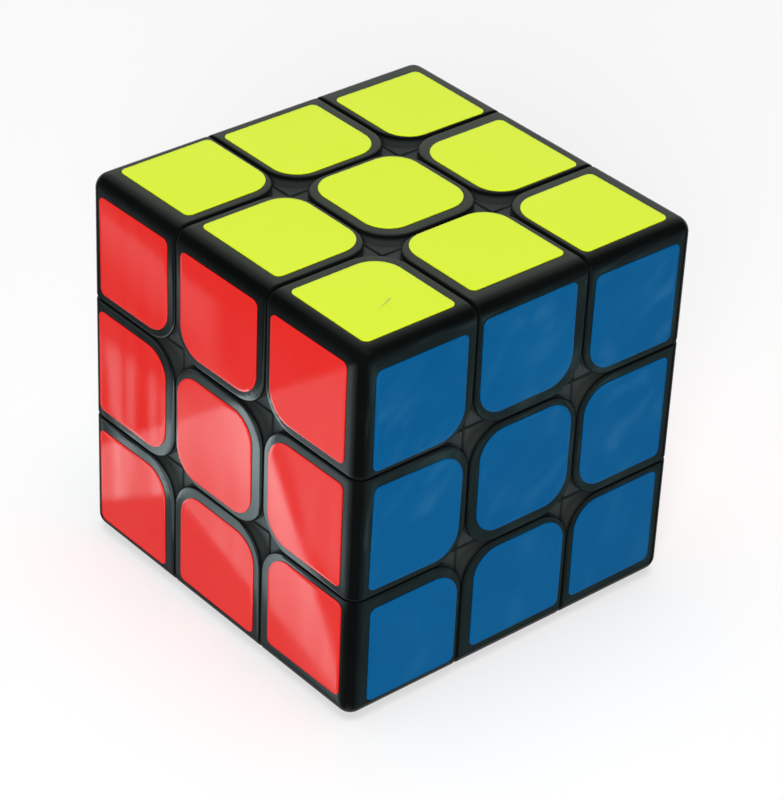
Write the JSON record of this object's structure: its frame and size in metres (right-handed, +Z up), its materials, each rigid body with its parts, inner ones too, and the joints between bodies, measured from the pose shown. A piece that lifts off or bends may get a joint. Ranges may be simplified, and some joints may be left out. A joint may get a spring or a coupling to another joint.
{
  "type": "twisty puzzle cube",
  "caption": "Cube-shaped twisty puzzle of interlocking hollow black plastic pieces with coloured stickers, held by sprung screws to a hidden core, so its layers turn.",
  "frame": {"origin": "middle of the cube's bottom face", "axes": "+Z up through the top centre's screw (yellow face), +X out of the right face (blue), -Y out of the front face (red)"},
  "size_m": [0.057, 0.057, 0.057],
  "materials": {
    "black_plastic": "gloss",
    "core_plastic": "satin",
    "screw_steel": "satin",
    "spring_steel": "satin",
    "sticker_yellow": "gloss",
    "sticker_red": "gloss",
    "sticker_blue": "gloss",
    "sticker_white": "gloss",
    "sticker_orange": "gloss",
    "sticker_green": "gloss"
  },
  "bodies": {
    "core": {"core": "core_plastic", "top_centre_screw": "screw_steel", "top_centre_washer": "screw_steel", "top_centre_spring": "spring_steel", "bottom_centre_screw": "screw_steel", "bottom_centre_washer": "screw_steel", "bottom_centre_spring": "spring_steel", "front_centre_screw": "screw_steel", "front_centre_washer": "screw_steel", "front_centre_spring": "spring_steel", "right_centre_screw": "screw_steel", "right_centre_washer": "screw_steel", "right_centre_spring": "spring_steel", "back_centre_screw": "screw_steel", "back_centre_washer": "screw_steel", "back_centre_spring": "spring_steel", "left_centre_screw": "screw_steel", "left_centre_washer": "screw_steel", "left_centre_spring": "spring_steel", "edge_back_right": "black_plastic", "edge_back_left": "black_plastic", "edge_front_left": "black_plastic", "edge_front_right": "black_plastic"},
    "top_layer": {"edge_top_back": "black_plastic", "edge_top_left": "black_plastic", "edge_top_front": "black_plastic", "edge_top_right": "black_plastic", "corner_shell_top_back_right": "black_plastic", "corner_foot_top_back_right": "black_plastic", "corner_shell_top_back_left": "black_plastic", "corner_foot_top_back_left": "black_plastic", "corner_shell_top_front_left": "black_plastic", "corner_foot_top_front_left": "black_plastic", "corner_shell_top_front_right": "black_plastic", "corner_foot_top_front_right": "black_plastic"},
    "bottom_layer": {"edge_bottom_front": "black_plastic", "edge_bottom_right": "black_plastic", "edge_bottom_back": "black_plastic", "edge_bottom_left": "black_plastic", "corner_shell_bottom_back_right": "black_plastic", "corner_foot_bottom_back_right": "black_plastic", "corner_shell_bottom_back_left": "black_plastic", "corner_foot_bottom_back_left": "black_plastic", "corner_shell_bottom_front_left": "black_plastic", "corner_foot_bottom_front_left": "black_plastic", "corner_shell_bottom_front_right": "black_plastic", "corner_foot_bottom_front_right": "black_plastic"},
    "top_centre": {"top_centre_body": "black_plastic", "top_centre_cap": "black_plastic"},
    "bottom_centre": {"bottom_centre_body": "black_plastic", "bottom_centre_cap": "black_plastic"},
    "front_centre": {"front_centre_body": "black_plastic", "front_centre_cap": "black_plastic"},
    "right_centre": {"right_centre_body": "black_plastic", "right_centre_cap": "black_plastic"},
    "back_centre": {"back_centre_body": "black_plastic", "back_centre_cap": "black_plastic"},
    "left_centre": {"left_centre_body": "black_plastic", "left_centre_cap": "black_plastic"}
  },
  "joints": [
    {"name": "top_turn", "type": "hinge", "parent": "core", "child": "top_layer", "pos_m": [0, 0, 0.0285], "axis": [0, 0, 1], "continuous": true},
    {"name": "bottom_turn", "type": "hinge", "parent": "core", "child": "bottom_layer", "pos_m": [0, 0, 0.0285], "axis": [0, 0, -1], "continuous": true},
    {"name": "top_centre_lift", "type": "slide", "parent": "top_layer", "child": "top_centre", "axis": [0, 0, 1], "range_m": [0, 0.001], "stiffness_N_per_m": 500, "springref_m": -0.003, "deforming": ["top_centre_spring"]},
    {"name": "bottom_centre_lift", "type": "slide", "parent": "bottom_layer", "child": "bottom_centre", "axis": [0, 0, -1], "range_m": [0, 0.001], "stiffness_N_per_m": 500, "springref_m": -0.003, "deforming": ["bottom_centre_spring"]},
    {"name": "front_centre_lift", "type": "slide", "parent": "core", "child": "front_centre", "axis": [0, -1, 0], "range_m": [0, 0.001], "stiffness_N_per_m": 500, "springref_m": -0.003, "deforming": ["front_centre_spring"]},
    {"name": "right_centre_lift", "type": "slide", "parent": "core", "child": "right_centre", "axis": [1, 0, 0], "range_m": [0, 0.001], "stiffness_N_per_m": 500, "springref_m": -0.003, "deforming": ["right_centre_spring"]},
    {"name": "back_centre_lift", "type": "slide", "parent": "core", "child": "back_centre", "axis": [0, 1, 0], "range_m": [0, 0.001], "stiffness_N_per_m": 500, "springref_m": -0.003, "deforming": ["back_centre_spring"]},
    {"name": "left_centre_lift", "type": "slide", "parent": "core", "child": "left_centre", "axis": [-1, 0, 0], "range_m": [0, 0.001], "stiffness_N_per_m": 500, "springref_m": -0.003, "deforming": ["left_centre_spring"]}
  ]
}
